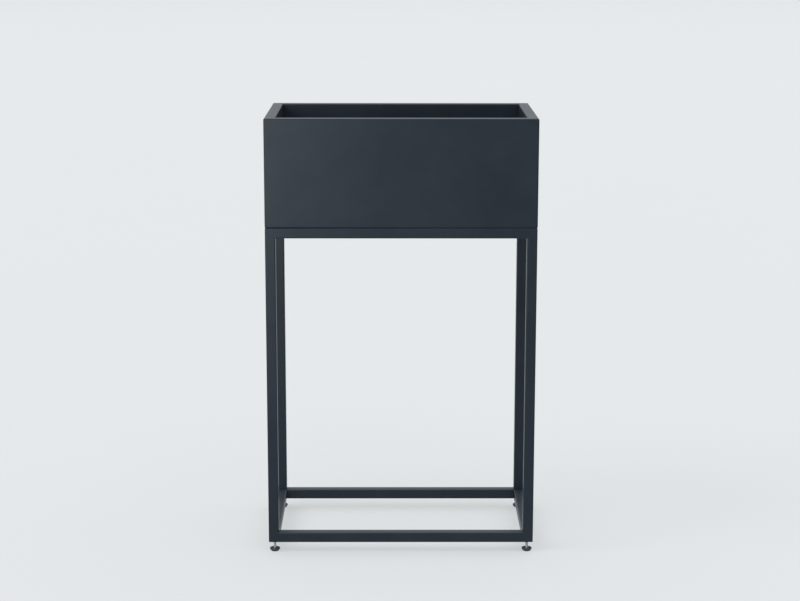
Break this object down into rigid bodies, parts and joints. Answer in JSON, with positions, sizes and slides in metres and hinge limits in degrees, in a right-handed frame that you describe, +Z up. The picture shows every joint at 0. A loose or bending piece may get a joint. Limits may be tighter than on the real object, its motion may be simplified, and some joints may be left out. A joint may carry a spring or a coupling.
{
  "type": "raised planter",
  "caption": "Rectangular folded-steel planter box with a turned-in rim, bolted to a tall open stand of square tube on screw-adjustable levelling feet.",
  "frame": {"origin": "on the floor, under the middle of the stand, feet at mid travel", "axes": "+Z up, front towards -Y, +X to the right seen from the front"},
  "size_m": [0.6, 0.35, 0.987],
  "materials": {
    "powder_coat": "fine matt anthracite powder coat on steel",
    "zinc": "bright zinc-plated steel",
    "pad_plastic": "black moulded plastic"
  },
  "bodies": {
    "root": {"leg_front_left": "powder_coat", "leg_front_right": "powder_coat", "leg_back_left": "powder_coat", "leg_back_right": "powder_coat", "top_rail_front": "powder_coat", "top_rail_back": "powder_coat", "top_rail_left": "powder_coat", "top_rail_right": "powder_coat", "bottom_rail_front": "powder_coat", "bottom_rail_back": "powder_coat", "bottom_rail_left": "powder_coat", "bottom_rail_right": "powder_coat", "corner_tab_front_left": "powder_coat", "corner_tab_front_right": "powder_coat", "corner_tab_back_left": "powder_coat", "corner_tab_back_right": "powder_coat", "box_front_panel": "powder_coat", "box_back_panel": "powder_coat", "box_left_panel": "powder_coat", "box_right_panel": "powder_coat", "box_floor": "powder_coat", "weld_nuts": "zinc", "box_bolts": "zinc", "box_washers": "zinc", "box_nuts": "zinc"},
    "pad_front_left": {"foot_pad_front_left": "pad_plastic"},
    "stud_front_left": {"foot_stud_front_left": "zinc"},
    "pad_front_right": {"foot_pad_front_right": "pad_plastic"},
    "stud_front_right": {"foot_stud_front_right": "zinc"},
    "pad_back_left": {"foot_pad_back_left": "pad_plastic"},
    "stud_back_left": {"foot_stud_back_left": "zinc"},
    "pad_back_right": {"foot_pad_back_right": "pad_plastic"},
    "stud_back_right": {"foot_stud_back_right": "zinc"}
  },
  "joints": [
    {"name": "foot_height_front_left", "type": "slide", "parent": "root", "child": "pad_front_left", "axis": [0, 0, -1], "range_m": [-0.012, 0.01]},
    {"name": "stud_turn_front_left", "type": "hinge", "parent": "pad_front_left", "child": "stud_front_left", "pos_m": [-0.287, -0.162, 0.02], "axis": [0, 0, -1], "range_deg": [-4330, 3610]},
    {"name": "foot_height_front_right", "type": "slide", "parent": "root", "child": "pad_front_right", "axis": [0, 0, -1], "range_m": [-0.012, 0.01]},
    {"name": "stud_turn_front_right", "type": "hinge", "parent": "pad_front_right", "child": "stud_front_right", "pos_m": [0.287, -0.162, 0.02], "axis": [0, 0, -1], "range_deg": [-4330, 3610]},
    {"name": "foot_height_back_left", "type": "slide", "parent": "root", "child": "pad_back_left", "axis": [0, 0, -1], "range_m": [-0.012, 0.01]},
    {"name": "stud_turn_back_left", "type": "hinge", "parent": "pad_back_left", "child": "stud_back_left", "pos_m": [-0.287, 0.162, 0.02], "axis": [0, 0, -1], "range_deg": [-4330, 3610]},
    {"name": "foot_height_back_right", "type": "slide", "parent": "root", "child": "pad_back_right", "axis": [0, 0, -1], "range_m": [-0.012, 0.01]},
    {"name": "stud_turn_back_right", "type": "hinge", "parent": "pad_back_right", "child": "stud_back_right", "pos_m": [0.287, 0.162, 0.02], "axis": [0, 0, -1], "range_deg": [-4330, 3610]}
  ],
  "couplings": [
    {"joint": "stud_turn_front_left", "follows": "foot_height_front_left", "rad_per_m": 6283.2},
    {"joint": "stud_turn_front_right", "follows": "foot_height_front_right", "rad_per_m": 6283.2},
    {"joint": "stud_turn_back_left", "follows": "foot_height_back_left", "rad_per_m": 6283.2},
    {"joint": "stud_turn_back_right", "follows": "foot_height_back_right", "rad_per_m": 6283.2}
  ]
}
